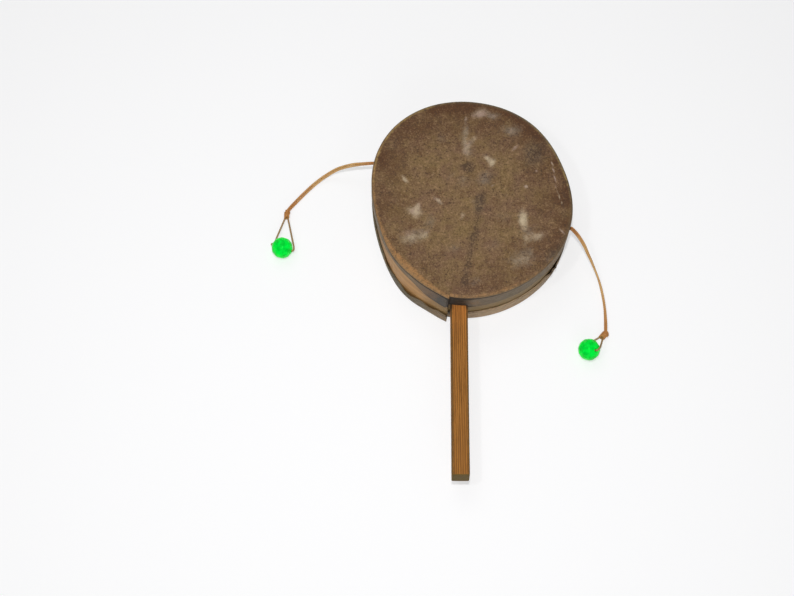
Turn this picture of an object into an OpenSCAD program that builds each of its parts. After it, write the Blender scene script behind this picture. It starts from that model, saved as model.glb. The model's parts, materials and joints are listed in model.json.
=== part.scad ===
// Pellet drum rattle: a bentwood hoop with a hide head on each side, a square
// stick handle, and a bead on a doubled cord at either side.
// The drum lies on its back head. +Z is up, the handle points along -Y, and
// the origin is under the middle of the drum. All sizes are in millimetres.

/* [Drum] */
// Mean outside radius of the drum, over the hide
drum_r = 48; // [42:0.5:56]
// Depth of the drum over both heads
drum_depth = 27; // [25:0.5:34]
// How far the long axis of the uneven oval stands past the mean radius
oval = 2.5; // [0:0.1:4]
// Direction of the oval's long axis, in degrees from +X
oval_dir = 102; // [60:1:140]
// Three-sided unevenness of the bend
lobe3 = 0.85; // [0:0.05:1.2]
// Direction of the first of the three lobes
lobe3_dir = 11; // [0:1:60]
// Four-sided unevenness of the bend
lobe4 = 0.6; // [0:0.05:1]
// Direction of the first of the four lobes
lobe4_dir = -30; // [-45:1:0]

/* [Hoop strip] */
// Thickness of the bent wooden strip
strip_t = 1.6; // [1.2:0.1:2.2]
// Direction of the strip's outer end, just left of the handle
lap_dir = 257.4; // [254:0.2:258]
// Length at its outer end over which the strip stays straight
straight_end = 10; // [6:0.5:14]
// Length over which the two ends of the strip lap
lap_len = 24; // [14:1:40]

/* [Hide heads] */
// Thickness of the hide
skin_t = 0.8; // [0.5:0.1:1.1]
// Depth of the front head's margin, turned down over the hoop
front_lap = 12; // [9:0.5:12]
// Depth of the back head's margin, turned up over the hoop
back_lap = 8.5; // [5:0.5:9]
// Direction of the middle of the shallow place in the front margin
scallop_dir = 218; // [205:1:225]
// Width of the shallow place in the front margin
scallop_w = 60; // [40:1:70]
// Height of hide that the shallow place lacks
scallop_d = 6.5; // [3:0.5:8]

/* [Handle] */
// Side of the square stick
handle_w = 8; // [6:0.25:9]
// Offset of the stick from the middle of the drum
handle_x = -6.2; // [-6.5:0.1:-4]
// Length of stick outside the drum
handle_out = 78; // [50:1:140]
// Width of the flat worn on each long edge of the stick
handle_edge = 0.7; // [0.3:0.1:1.2]
// Slope of the saw cut at the stick's end, in degrees
end_slope = 8; // [0:1:12]
// Play around the stick in the hoop
stick_play = 0.1; // [0.05:0.05:0.3]

/* [Brad] */
// Diameter of the brad's shank
brad_d = 1.2; // [0.8:0.1:1.6]
// Diameter of the brad's head
brad_head_d = 2.6; // [2:0.1:3.2]
// Thickness of the brad's head
brad_head_t = 0.6; // [0.4:0.1:0.8]
// Length of the brad under its head
brad_len = 14; // [10:1:20]
// Play around the brad in the wood
brad_play = 0.05; // [0.02:0.01:0.1]

/* [Cords] */
// Diameter of the doubled cord
cord_d = 1.7; // [1.2:0.1:1.8]
// Diameter of one strand, in the loop around a bead
strand_d = 0.9; // [0.6:0.1:1]
// Direction of the left cord's hole from the middle of the drum
left_dir = 152; // [140:1:165]
// Direction of the right cord's hole from the middle of the drum
right_dir = -14; // [-30:1:0]
// Distance from the wood to the place where the cord bends
bend_out = 2.4; // [2.2:0.1:3.5]
// Gap between two lengths of a cord where it bends
bend_gap = 0.35; // [0.3:0.05:0.6]
// Play around the cord in its holes
hole_play = 0.25; // [0.1:0.05:0.5]

/* [Knots] */
// Wraps of cord in a knot
wraps = 3; // [2:1:4]
// Pitch of the wraps
wrap_pitch = 1.3; // [1:0.1:1.5]
// Diameter of the knot over its wraps
knot_d = 3.8; // [3.2:0.1:4.2]
// Gap between the wood and the knot inside the drum
stop_gap = 0.4; // [0.2:0.1:0.9]
// Play around the cord in the knot inside the drum
stop_play = 0.05; // [0.02:0.01:0.1]

/* [Beads] */
// Diameter of a bead
bead_d = 10; // [9:0.5:10]
// Diameter of the hole through a bead
bead_bore = 1.8; // [1.6:0.1:2.2]

/* [Hidden] */

$fn = 48;
// Sides of the polygon that stands for the bent outline
outline_sides = 90;
// Sides of a swept cord
cord_sides = 8;
// Turns, in degrees, at which the rounded end of a cord has a ring
end_turns = [30, 60, 85];
// Length that carries a cut past the solid
past = 5;
// Thickness of a wrap against the pitch, so that the wraps of a knot bed together
wrap_bed = 1.08;
// A direction that no cord runs along
off_axis = [0.1, 0.2, 1];

hide_brown = [0.43, 0.34, 0.26];
wood_tan = [0.62, 0.46, 0.30];
stick_orange = [0.60, 0.38, 0.19];
steel_grey = [0.55, 0.55, 0.54];
cord_ochre = [0.74, 0.50, 0.25];
bead_green = [0.05, 0.85, 0.28];

mid_z = drum_depth / 2;
hoop_h = drum_depth - 2 * skin_t;
cord_r = cord_d / 2;
strand_r = strand_d / 2;
bead_r = bead_d / 2;
knot_r = knot_d / 2;
knot_len = wraps * wrap_pitch;
// Distance from a bend to the start of the next length of cord
bend_start = cord_r + bend_gap;

// Direction of the point where the strip's straight end leaves the bend
straight_dir = lap_dir - turn_of(straight_end, lap_dir);
// Direction square to the straight end
straight_square = straight_dir - atan(bend_slope(straight_dir) / bend_r(straight_dir));
// Direction of the strip's inner end, under the lap
inner_end_dir = lap_dir - turn_of(lap_len, lap_dir);

// Where the outside of the hoop stands on the line of the stick
near_y = wall_y(handle_x, -1);
far_y = wall_y(handle_x, 1);
handle_end_y = near_y - handle_out;

// The bend of each cord outside its hole, and the direction from left to right
left_bend = bend_at(left_dir);
right_bend = bend_at(right_dir);
through = unit(right_bend - left_bend);
// Distance from a bend to the middle of the knot inside the drum
stop_back = bend_out + strip_t + stop_gap + knot_len / 2;

// Routes of the cords. Each point is an offset in X and Y from the bend
// outside the hole, and a height above the table.
left_near_route = [
    [0, 0, 13.5], [-3.3, 0, 13.2], [-6.6, 0.1, 12.5], [-9.8, 0.3, 11.4], [-12.8, 0.4, 9.8],
    [-15.5, 0.5, 8.1], [-18.2, 0.2, 6.3], [-20.8, -0.6, 4.5], [-23.4, -1.8, 2.9]
];
left_far_route = [
    [-23.4, -1.8, 2.9], [-26.2, -3.5, 1.7], [-28.9, -5.8, 1.2], [-31.4, -8.2, 1], [-33.8, -10.8, 1],
    [-36.1, -13.4, 1], [-38.4, -16, 1.2], [-40.6, -18.3, 1.6], [-42.1, -20.2, 1.9]
];
right_near_route = [
    [0, 0, 13.5], [2.5, -1.7, 13.1], [4.6, -4.3, 12.2], [6.3, -7, 11], [7.9, -9.8, 9.4],
    [9.4, -12.6, 7.7], [10.8, -15.5, 6], [12.1, -18.5, 4.4], [13.2, -21.6, 3]
];
right_far_route = [
    [13.2, -21.6, 3], [14.1, -24.9, 1.9], [14.8, -28.2, 1.3], [15.3, -31.5, 1], [15.6, -34.8, 1],
    [15.8, -38.1, 1], [15.9, -41.3, 1.2], [15.9, -44.2, 1.6], [15.6, -46.4, 1.9]
];
// Each loop runs from the knot, through the bead and back to the knot.
left_loop_route = [
    [-42.9, -22.9, 1.9], [-43.8, -25, 1.9], [-45.3, -28.6, 2.5], [-47.2, -33, 3.7], [-48.8, -36.4, 4.7],
    [-49.5, -37.8, 5], [-49.2, -38.5, 5], [-48.1, -38.9, 5], [-43.7, -40.3, 5], [-39.3, -41.7, 5],
    [-38.2, -42, 5], [-37.5, -41.6, 5], [-37.5, -40.4, 4.9], [-38.1, -37, 4.4], [-39.1, -32.5, 3.3],
    [-40.4, -27.8, 2.3], [-41.4, -24.6, 1.9], [-41.9, -22.9, 1.9]
];
right_loop_route = [
    [14.3, -49, 1.9], [13.8, -50.4, 3], [13.1, -52.2, 5], [12.3, -54.6, 7.6], [11.5, -56.5, 9.3],
    [10.9, -57.4, 9.7], [10.2, -57.6, 9.4], [9.6, -57.2, 8.5], [7, -55.7, 5], [4.4, -54.2, 1.5],
    [3.8, -53.8, 0.8], [3.5, -53.1, 0.6], [4.1, -52.2, 0.6], [5.4, -51.1, 0.7], [7.6, -50.1, 0.9],
    [10.4, -49.3, 1.3], [12.3, -48.7, 1.7], [13.5, -48.3, 1.9]
];
left_knot_at = [-42.4, -21.6];
right_knot_at = [14.8, -47.6];
left_knot_along = [0, -1];
right_knot_along = [-0.65, -0.76];
left_bead_at = [-43.7, -40.3];
right_bead_at = [7, -55.7];
left_bore_along = [10.4, -3.4, 0];
right_bore_along = [5.8, -3.4, 8];

function unit(v) = v / norm(v);

// Radius of the bent outline over the hide, without the strip's straight end
function bend_r(dir) =
    drum_r + oval * cos(2 * (dir - oval_dir))
    + lobe3 * cos(3 * (dir - lobe3_dir)) + lobe4 * cos(4 * (dir - lobe4_dir));

// Change of that radius for each radian of turn
function bend_slope(dir) =
    -2 * oval * sin(2 * (dir - oval_dir))
    - 3 * lobe3 * sin(3 * (dir - lobe3_dir)) - 4 * lobe4 * sin(4 * (dir - lobe4_dir));

// Turn around the drum, in degrees, that a length along its wall takes
function turn_of(length, dir) = length / bend_r(dir) * 180 / PI;

// Radius over the hide, where the straight end stands off the bend up to the lap
function outer_r(dir) =
    dir <= straight_dir ? bend_r(dir)
    : bend_r(straight_dir) * cos(straight_dir - straight_square) / cos(dir - straight_square);

// Radius inside the strip, whose inner end slips in under the lap
function inner_r(dir) =
    bend_r(dir) - skin_t
    - strip_t * (1 + max(0, (lap_dir - 360 - dir) / (lap_dir - inner_end_dir)));

// Y of the hoop's outside at a given X, on the side of +Y or of -Y
function wall_y(x, side) =
    let (dir = dir_at(x, side * 90, side)) (bend_r(dir) - skin_t) * sin(dir);

// Direction of that place, found by stepping towards it
function dir_at(x, dir, side, steps = 8) =
    steps == 0 ? dir : dir_at(x, side * acos(x / (bend_r(dir) - skin_t)), side, steps - 1);

function bend_at(dir) =
    let (r = bend_r(dir) - skin_t + bend_out) [r * cos(dir), r * sin(dir), mid_z];

// A route moved from offsets to its place beside the hole
function placed(route, bend) = [for (p = route) [bend.x + p.x, bend.y + p.y, p.z]];

// A route whose first point is drawn in from the bend by the gap there
function opened(route) =
    [for (i = [0 : len(route) - 1])
        i > 0 ? route[i] : route[0] + bend_start * unit(route[1] - route[0])];

// Points of a smooth curve through a route, with one more between each two
function smooth(route) = concat(
    [for (i = [0 : len(route) - 2], half = [false, true])
        half ? halfway(route[max(i - 1, 0)], route[i], route[i + 1], route[min(i + 2, len(route) - 1)])
        : route[i]],
    [route[len(route) - 1]]
);

function halfway(a, b, c, d) = (9 * (b + c) - a - d) / 16;

function tangents(line) =
    [for (i = [0 : len(line) - 1]) unit(line[min(i + 1, len(line) - 1)] - line[max(i - 1, 0)])];

// A direction square to each tangent, carried along the line without twist
function squares(along) = [
    for (
        i = 0, s = unit(cross(along[0], off_axis));
        i < len(along);
        i = i + 1, s = i < len(along) ? unit(s - (s * along[i]) * along[i]) : s
    ) s
];

function ring(middle, along, square, r) =
    [for (k = [0 : cord_sides - 1])
        let (a = 360 * k / cord_sides) middle + r * (cos(a) * square + sin(a) * cross(along, square))];

// Round cord swept along a line of points, with a half-round end where it bends
module swept(line, r, round_end = false) {
    along = tangents(line);
    square = squares(along);
    last = len(line) - 1;
    body = [for (i = [0 : last]) ring(line[i], along[i], square[i], r)];
    cap = [for (a = round_end ? end_turns : [])
        ring(line[last] + r * sin(a) * along[last], along[last], square[last], r * cos(a))];
    rings = concat(body, cap);
    n = cord_sides;
    top = (len(rings) - 1) * n;
    polyhedron(
        points = [for (points = rings, p = points) p],
        faces = concat(
            [[for (k = [0 : n - 1]) k]],
            [for (i = [0 : len(rings) - 2], k = [0 : n - 1])
                [i * n + k, (i + 1) * n + k, i * n + (k + 1) % n]],
            [for (i = [0 : len(rings) - 2], k = [0 : n - 1])
                [i * n + (k + 1) % n, (i + 1) * n + k, (i + 1) * n + (k + 1) % n]],
            [[for (k = [n - 1 : -1 : 0]) top + k]]
        )
    );
}

// Sets its children with their Z along a direction
module facing(at, along) {
    d = unit(along);
    translate(at) rotate([0, acos(d.z), atan2(d.y, d.x)]) children();
}

module outline(grow) {
    turns = [for (i = [0 : outline_sides]) lap_dir - 360 + 360 * i / outline_sides];
    polygon([for (dir = turns) (outer_r(dir) + grow) * [cos(dir), sin(dir)]]);
}

module inner_outline(shrink) {
    turns = [for (i = [0 : outline_sides]) inner_end_dir - 360 + 360 * i / outline_sides];
    polygon([for (dir = turns) (inner_r(dir) - shrink) * [cos(dir), sin(dir)]]);
}

// Square section of the stick, with the edges worn flat
module stick_section(play) {
    half = handle_w / 2 + play;
    cut = half - handle_edge;
    polygon([
        [cut, -half], [half, -cut], [half, cut], [cut, half],
        [-cut, half], [-half, cut], [-half, -cut], [-cut, -half]
    ]);
}

module stick(from_y, to_y, play) {
    translate([handle_x, to_y, mid_z]) rotate([90, 0, 0])
        linear_extrude(to_y - from_y) stick_section(play);
}

// Straight hole for the cord, through both walls and the stick
module cord_hole() {
    facing(left_bend, through)
        cylinder(r = cord_r + hole_play, h = norm(right_bend - left_bend));
}

// Brad driven through the far wall along the stick
module brad(play) {
    translate([handle_x, far_y, mid_z]) rotate([90, 0, 0]) {
        cylinder(d = brad_d + 2 * play, h = brad_len + play);
        translate([0, 0, -brad_head_t / 2 - play])
            cylinder(d = brad_head_d + 2 * play, h = brad_head_t + 2 * play);
    }
}

// What passes through the wall of the drum
module wall_holes() {
    stick(near_y - past, near_y + past, stick_play);
    cord_hole();
    brad(brad_play);
}

// Knot as a row of wraps around the cord, bored for the cord where it slips on
module knot(bore_r = 0) {
    wrap_r = wrap_pitch * wrap_bed / 2;
    rotate_extrude() difference() {
        union() {
            for (i = [0 : wraps - 1])
                translate([knot_r - wrap_r, (i - (wraps - 1) / 2) * wrap_pitch]) circle(wrap_r);
            translate([0, -knot_len / 2]) square([knot_r - wrap_r, knot_len]);
        }
        translate([bore_r - knot_len, -knot_len]) square([knot_len, 2 * knot_len]);
    }
}

module bead(at, along) {
    difference() {
        translate(at) sphere(r = bead_r);
        facing(at - bead_d * unit(along), along) cylinder(d = bead_bore, h = 2 * bead_d);
    }
}

module hoop() {
    color(wood_tan) difference() {
        translate([0, 0, skin_t]) linear_extrude(hoop_h) difference() {
            outline(-skin_t);
            inner_outline(0);
        }
        wall_holes();
    }
}

module front_head() {
    scallop_r = (scallop_w * scallop_w / 4 + scallop_d * scallop_d) / (2 * scallop_d);
    edge_z = drum_depth - front_lap;
    color(hide_brown) difference() {
        union() {
            translate([0, 0, drum_depth - skin_t]) linear_extrude(skin_t) outline(0);
            translate([0, 0, edge_z]) linear_extrude(front_lap) difference() {
                outline(0);
                outline(-skin_t);
            }
        }
        translate([0, 0, edge_z + scallop_d - scallop_r]) rotate([0, 90, scallop_dir])
            cylinder(r = scallop_r, h = 2 * drum_r, $fn = 96);
        wall_holes();
    }
}

module back_head() {
    color(hide_brown) difference() {
        union() {
            linear_extrude(skin_t) outline(0);
            linear_extrude(back_lap) difference() {
                outline(0);
                outline(-skin_t);
            }
        }
        wall_holes();
    }
}

module handle() {
    color(stick_orange) difference() {
        stick(handle_end_y - past, far_y, 0);
        difference() {
            translate([-drum_r, 0, 0]) cube([2 * drum_r, 2 * drum_r, drum_depth]);
            linear_extrude(drum_depth) inner_outline(stick_play);
        }
        translate([handle_x, handle_end_y, mid_z]) rotate([end_slope, 0, 0])
            translate([-handle_w, -2 * past, -2 * handle_w]) cube([2 * handle_w, 2 * past, 4 * handle_w]);
        cord_hole();
        brad(brad_play);
    }
}

module handle_brad() {
    color(steel_grey) brad(0);
}

module inner_cord() {
    run = norm(right_bend - left_bend);
    color(cord_ochre) facing(left_bend, through) rotate_extrude() intersection() {
        union() {
            circle(cord_r);
            translate([0, run]) circle(cord_r);
            square([cord_r, run]);
        }
        translate([0, -cord_r]) square([cord_r, run + cord_d]);
    }
}

module left_stop_knot() {
    color(cord_ochre) facing(left_bend + stop_back * through, through) knot(cord_r + stop_play);
}

module right_stop_knot() {
    color(cord_ochre) facing(right_bend - stop_back * through, through) knot(cord_r + stop_play);
}

module cord_near(route, bend) {
    color(cord_ochre) swept(opened(placed(route, bend)), cord_r, true);
}

module cord_far(route, bend) {
    color(cord_ochre) swept(opened(placed(route, bend)), cord_r);
}

module tied_knot(at, along, bend) {
    color(cord_ochre) facing([bend.x + at.x, bend.y + at.y, knot_r], [along.x, along.y, 0]) knot();
}

module loop(route, bend) {
    color(cord_ochre) swept(smooth(placed(route, bend)), strand_r);
}

module strung_bead(at, along, bend) {
    color(bead_green) bead([bend.x + at.x, bend.y + at.y, bead_r], along);
}

hoop();
front_head();
back_head();
handle();
handle_brad();
inner_cord();
left_stop_knot();
cord_near(left_near_route, left_bend);  // left_cord_near
cord_far(left_far_route, left_bend);  // left_cord_far
tied_knot(left_knot_at, left_knot_along, left_bend);  // left_knot
loop(left_loop_route, left_bend);  // left_loop
strung_bead(left_bead_at, left_bore_along, left_bend);  // left_bead
right_stop_knot();
cord_near(right_near_route, right_bend);  // right_cord_near
cord_far(right_far_route, right_bend);  // right_cord_far
tied_knot(right_knot_at, right_knot_along, right_bend);  // right_knot
loop(right_loop_route, right_bend);  // right_loop
strung_bead(right_bead_at, right_bore_along, right_bend);  // right_bead
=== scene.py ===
"""Dresses the pellet drum rattle: hide heads, bentwood hoop, stick handle, twine cords and green beads."""
import json

import bmesh
import bpy
import numpy as np
from bpy.props import FloatProperty, FloatVectorProperty, IntProperty, PointerProperty
from bpy.types import NodeSocket, Operator, Panel, PropertyGroup
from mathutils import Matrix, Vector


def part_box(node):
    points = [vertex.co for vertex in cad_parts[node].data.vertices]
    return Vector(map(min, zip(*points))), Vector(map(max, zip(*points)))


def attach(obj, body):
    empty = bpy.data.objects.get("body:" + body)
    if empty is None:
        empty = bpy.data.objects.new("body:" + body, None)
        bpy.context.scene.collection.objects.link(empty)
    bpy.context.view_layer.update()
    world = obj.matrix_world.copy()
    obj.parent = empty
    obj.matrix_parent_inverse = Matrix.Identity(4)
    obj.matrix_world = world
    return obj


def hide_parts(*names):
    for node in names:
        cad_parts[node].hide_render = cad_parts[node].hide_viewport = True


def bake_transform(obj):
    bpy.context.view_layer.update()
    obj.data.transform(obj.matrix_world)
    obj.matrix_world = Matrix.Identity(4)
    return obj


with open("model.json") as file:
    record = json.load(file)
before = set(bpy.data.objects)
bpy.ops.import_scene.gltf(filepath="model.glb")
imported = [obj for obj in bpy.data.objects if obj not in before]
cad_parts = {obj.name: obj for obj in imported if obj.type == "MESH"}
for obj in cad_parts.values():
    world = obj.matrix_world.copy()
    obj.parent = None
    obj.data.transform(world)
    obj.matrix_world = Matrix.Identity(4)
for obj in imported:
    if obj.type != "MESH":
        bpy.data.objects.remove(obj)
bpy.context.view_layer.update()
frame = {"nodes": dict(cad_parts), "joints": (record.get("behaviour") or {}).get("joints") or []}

bl_info = {
    "name": "Pellet drum rattle",
    "version": (1, 0, 0),
    "blender": (4, 5, 0),
    "location": "View3D > Sidebar > Rattle",
    "description": "Makes a hand-made pellet drum rattle from hide, wood, twine and plastic beads",
    "category": "Add Mesh",
}

MM = 0.001
SIDES = ("left", "right")

# Places that the frame gives, and the places on the table under the cords' bends
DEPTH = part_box("front_head")[1].z
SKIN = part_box("hoop")[0].z
MID_Z = DEPTH / 2
STICK_LOW, STICK_HIGH = (np.array(corner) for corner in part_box("handle"))
STICK_MID = (STICK_LOW + STICK_HIGH) / 2
STICK_HALF = (STICK_HIGH[0] - STICK_LOW[0]) / 2
PIVOTS = {joint["name"]: np.array(joint["pos_m"]) for joint in frame["joints"]}
AXES = {joint["name"]: np.array(joint["axis"]) for joint in frame["joints"]}
BENDS = {side: PIVOTS[side + "_swing"] * (1, 1, 0) for side in SIDES}

# Routes of the cords (mm): offsets in X and Y from the bend outside the hole, and heights
CORD_ROUTES = {
    "left": (
        (0, 0, 13.5), (-3.3, 0, 13.2), (-6.6, 0.1, 12.5), (-9.8, 0.3, 11.4), (-12.8, 0.5, 9.8),
        (-15.5, 0.6, 8.1), (-18.2, 0.5, 6.3), (-20.9, -0.1, 4.5), (-23.6, -1.1, 2.9), (-26.5, -2.7, 1.7),
        (-29.3, -4.9, 1.2), (-31.8, -7.3, 1), (-34.2, -9.9, 1), (-36.5, -12.5, 1), (-38.7, -15.2, 1.2),
        (-40.7, -17.8, 1.6), (-42.1, -20, 1.9),
    ),
    "right": (
        (0.3, 0.9, 14.1), (2, -0.6, 14.1), (4.2, -3.1, 13.1), (6.6, -6.5, 11.4), (8.4, -9.8, 9.4),
        (10, -12.6, 7.7), (11.5, -15.5, 6), (12.9, -18.5, 4.4), (14.1, -21.6, 3), (15, -24.9, 1.9),
        (15.6, -28.2, 1.3), (16, -31.5, 1), (16.2, -34.8, 1), (16.2, -38.1, 1), (16.1, -41.3, 1.2),
        (15.9, -44.2, 1.6), (15.6, -46.4, 1.9),
    ),
}
# Twine between the stop knot and the bend, its bend on either side of the hinge, and that of the fold
ROOT_INSIDE = 4.4 * MM
ROOT_BEND = 1.1 * MM
FOLD_BEND = 3 * MM
# Steps between the points of cords, loops and knots
STRAND_STEP = 0.28 * MM
LOOP_STEP = 0.25 * MM
KNOT_STEP = 0.22 * MM
# Points around a strand, its plies, and their depth as a share of its radius
STRAND_POINTS = 18
PLIES = 3
PLY_DEPTH = 0.08
# Both ends of each bead's loop at its knot, as offsets from the bend (mm), the end of the bore that each goes
# to, and the direction from the bead's middle in which it first meets the bead, if not by the shortest way
LOOP_ENDS = {
    "left": (((-42.9, -22.9, 1.9), -1, (-0.72, 0.58, -0.38)), ((-41.9, -22.9, 1.9), 1, None)),
    "right": (((14.3, -49, 1.9), 1, None), ((13.5, -48.3, 1.9), -1, None)),
}
# How the two strands of each cord lie: share of the length, and turn in degrees from side by side
PAIR_TURNS = {
    "left": ((0, 80), (0.12, 70), (0.3, 8), (0.72, 2), (0.95, 50), (1, 55)),
    "right": ((0, 5), (0.16, 20), (0.42, 66), (0.6, 90), (0.77, 95), (0.9, 117), (1, 122)),
    "inside": ((0, 0), (1, 360)),
}
# Middle of each knot, as an offset from the bend (mm), the way it points, and its thickness
KNOT_PLACES = {
    "left": ((-42.4, -21.6), (0, -1, 0), 1.0),
    "right": ((14.8, -47.6), (-0.65, -0.76, 0), 1.2),
}
# Lengths of the knots above the beads and of the stop knots, and their strands' radius and half distance
KNOT_LENGTH = 4.4 * MM
STOP_LENGTH = 4.2 * MM
KNOT_STRAND = 0.42 * MM
KNOT_APART = 0.3 * MM

# Tables by direction (degrees): depths of the margins and slack of the hide over the hoop (mm)
FRONT_MARGIN = (
    (0, 10.5), (60, 11), (150, 10.5), (180, 9.5), (194, 8.8), (206, 6.2), (216, 4.4), (230, 4.3), (238, 5.4),
    (246, 9.4), (254, 10.8), (262, 11.4), (280, 9.9), (300, 9.3), (320, 9.4), (340, 9.5), (360, 10.5),
)
BACK_MARGIN = (
    (0, 8.5), (90, 8.5), (160, 7.5), (190, 5.8), (215, 5.2), (228, 6.2), (240, 7.1), (256, 7.5), (285, 8.3),
    (360, 8.5),
)
HIDE_SLACK = (
    (0, 0.85), (20, 0.3), (50, 0.7), (80, 0.2), (110, 0.5), (145, 0.1), (180, 0.45), (212, 0.25), (230, 0.9),
    (240, 0.8), (254, 0.4), (275, 0.15), (310, 0.25), (335, 0.7), (350, 1), (360, 0.85),
)
# Soft bumps by direction: height, middle and half width (degrees)
WORN_WIDTH = ((2.3, 232, 42), (0.8, 170, 50), (1.0, 290, 38))
WORN_SHARE = ((0.75, 228, 60), (0.25, 150, 70), (0.2, 290, 44), (-0.2, 10, 50))
EDGE_LIGHT = ((0.65, 248, 115),)
RIM_SHADE = ((0.75, 60, 110),)
RIM_GOLD = ((0.6, 138, 62), (0.5, 28, 45))
FRONT_SLATE = ((0.95, 251, 15), (0.35, 285, 62))
FRONT_CREASE_SHADE = ((1.1, 250, 105),)
BACK_SLATE = ((0.2, 235, 40),)
BACK_PINK = ((1.0, 292, 55),)
BACK_OLIVE = ((1.2, 205, 64),)
BACK_GAPES = ((1.0, 235, 8), (0.9, 249, 6), (0.5, 214, 8), (0.6, 257, 5))
# Where the hoop has no painted shade
UNSHADED_WOOD = ((1.0, 222, 48),)
# Painted shade on the front margin over the stick's hole: its start, where it is full, its middle and half
# width (degrees)
STICK_SHADE = (256.4, 258, 264, 11)
# Tags of the back margin's torn edge: direction, height (mm), width of the tag and of its dirt (degrees)
TORN_TAGS = ((320.6, 0.85, 1.5, 2.6), (325.0, 0.7, 1.3, 2.0))

# Marks on the front head, by their mask: X, Y, length, width (mm), turn (degrees), strength
MARKS = {
    "bloom": (
        (5.6, 42.9, 8, 4.4, 20, 0.95), (11.6, 41.6, 5, 2.5, 0, 0.45), (-1.3, 39.5, 4, 1.6, 80, 0.45),
        (-1.4, 31.8, 9, 3, 85, 0.5), (-1.2, 23.4, 8, 4, 95, 0.65), (2.2, 28.9, 7, 2.4, 50, 0.55),
        (8.6, 19.4, 5, 3.4, -40, 0.75), (10.6, 16.6, 5, 3, 60, 0.7), (21.5, 24.7, 4.4, 1.7, 45, 0.75),
        (20.3, 33.9, 9, 4, 0, 0.4), (26, 4.5, 1.7, 1.7, 0, 1.2), (31.1, 12.6, 1.4, 1.4, 0, 0.8),
        (-30.1, 8.3, 4.6, 2, -55, 0.85), (-8.5, 10.1, 8, 2, 50, 0.4), (-14.6, -2.6, 5.4, 2, -40, 0.85),
        (-25.6, -8.4, 8, 5.4, -25, 0.75), (-24, -5.4, 5, 2.4, 60, 0.6), (-27.9, -21, 11, 7, 15, 0.6),
        (-20.6, -19.4, 6, 4, 60, 0.5), (-3.8, -10.2, 4, 2.4, 70, 0.65), (1.1, -2.6, 3.4, 2.4, 0, 0.5),
        (24, -12.2, 9, 4.2, 90, 1.05), (24.6, -22, 6, 3, 80, 0.42), (31.5, -20.6, 8, 4, 30, 0.5),
        (28.4, -20.4, 5, 4, 0, 0.45), (23.5, -32.4, 13, 8, 20, 0.5), (41.4, -18.2, 3.6, 0.9, -50, 0.9),
        (10.5, 5.2, 3.4, 1.1, 30, 0.5), (17, 0.3, 4, 1, 45, 0.4), (39.1, 11.5, 17, 0.6, -83, 1.1),
        (41.3, -1.5, 10, 0.6, -75, 0.7),
    ),
    "cool": (
        (11.6, 41.6, 7, 4, 0, 0.7), (20.3, 33.9, 10, 6, 0, 0.75), (-1.5, 33, 9, 4, 85, 0.6),
        (0, 24, 9, 6, 90, 0.5), (7, 9, 9, 7, 60, 0.6), (-3, 7, 8, 7, 30, 0.45), (4, -4, 9, 5, 80, 0.6),
        (-19, -13, 8, 6, 60, 0.5), (-26, -21, 12, 8, 20, 0.55), (15, -11, 10, 7, 20, 0.4),
        (26, -18, 10, 6, 20, 0.5), (22, -31, 14, 9, 20, 0.6), (-8, -26, 9, 6, 30, 0.4),
        (0, -43, 10, 5, 10, 0.5), (30, 22, 12, 10, 60, 0.5), (-12, 30, 12, 8, 20, 0.3),
        (37, -30, 10, 5, 50, 0.5), (-34, -2, 8, 8, 0, 0.25), (10, -24, 9, 6, 40, 0.35),
    ),
    "shade": (
        (30.5, 21.5, 19, 13, 60, 0.9), (-0.7, 14.6, 6.4, 5.4, 0, 1.3), (4.6, -1.8, 7, 5.4, 70, 1.15),
        (4.2, -7, 6, 4, 0, 0.5), (2.9, -12.5, 8, 4, 82, 0.68), (1.5, -20.6, 7.6, 4.6, 70, 1.05),
        (-0.2, -27.5, 7, 3.6, 80, 0.6), (-1.3, -33.4, 7, 3.6, 80, 0.66), (-2.6, -39.4, 7, 4.4, 80, 0.58),
        (-3.4, -43.6, 7, 5, 70, 0.6), (37, -28.5, 18, 6, 50, 0.8), (43.2, -3, 26, 4, 85, 0.6),
        (-34, 28, 26, 6, 55, 0.45), (9.5, 9, 10, 5, 70, 0.6), (11, 20, 9, 5, 30, 0.45),
        (-6, 38, 14, 6, 20, 0.4), (-36, 6, 24, 5, 85, 0.4), (-30, -20, 12, 5, 120, 0.35),
    ),
}

# Points around a hide, and its rings: face, rim, wall, edge, inside of the wall and inside of the face
HIDE_POINTS = 721
FACE_RINGS, RIM_RINGS, WALL_RINGS, EDGE_RINGS, INSIDE_RINGS, UNDER_RINGS = 60, 8, 22, 7, 6, 24
# Rings of the strip, points around a bead, its rings and those of its bore
STRIP_RINGS = 620
BEAD_POINTS, BEAD_RINGS, BORE_RINGS = 120, 70, 9
# Rings of facets on a bead: tilt from the bore (degrees), count, and turn as a share of a facet
FACET_RINGS = ((28, 6, 0.0), (58, 10, 0.3), (90, 12, 0.0), (122, 10, 0.3), (152, 6, 0.0))

# Lamps that face the drum: name, place and size in metres, and the setting that holds its power
LAMPS = (
    ("soft key", (-0.18, 0.32, 0.75), 0.45, "key_power"),
    ("near light", (-0.034, -0.166, 0.555), 0.012, "flash_power"),
    ("side light", (-0.19, -0.16, 0.52), 0.03, "side_power"),
    ("low light", (0.1, -1.2, 0.6), 1.0, "fill_power"),
)
# Camera: width of its film (mm), width and lens of the photo (pixels), and the nearest place that it sees
FILM_WIDTH = 36
PHOTO_WIDTH = 794
PHOTO_LENS = 1200
NEAREST_SEEN = 10 * MM
# Floor: half its side (m), its level just under the rattle, and its corners
FLOOR_HALF = 1.6
FLOOR_LEVEL = -0.15 * MM
SQUARE = ((-1, -1), (1, -1), (1, 1), (-1, 1))
WHITE = (1, 1, 1, 1)


def a_length(name, description, size):
    """A length, its default given in millimetres."""
    return FloatProperty(name=name, description=description, default=size * MM, unit="LENGTH")


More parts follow.
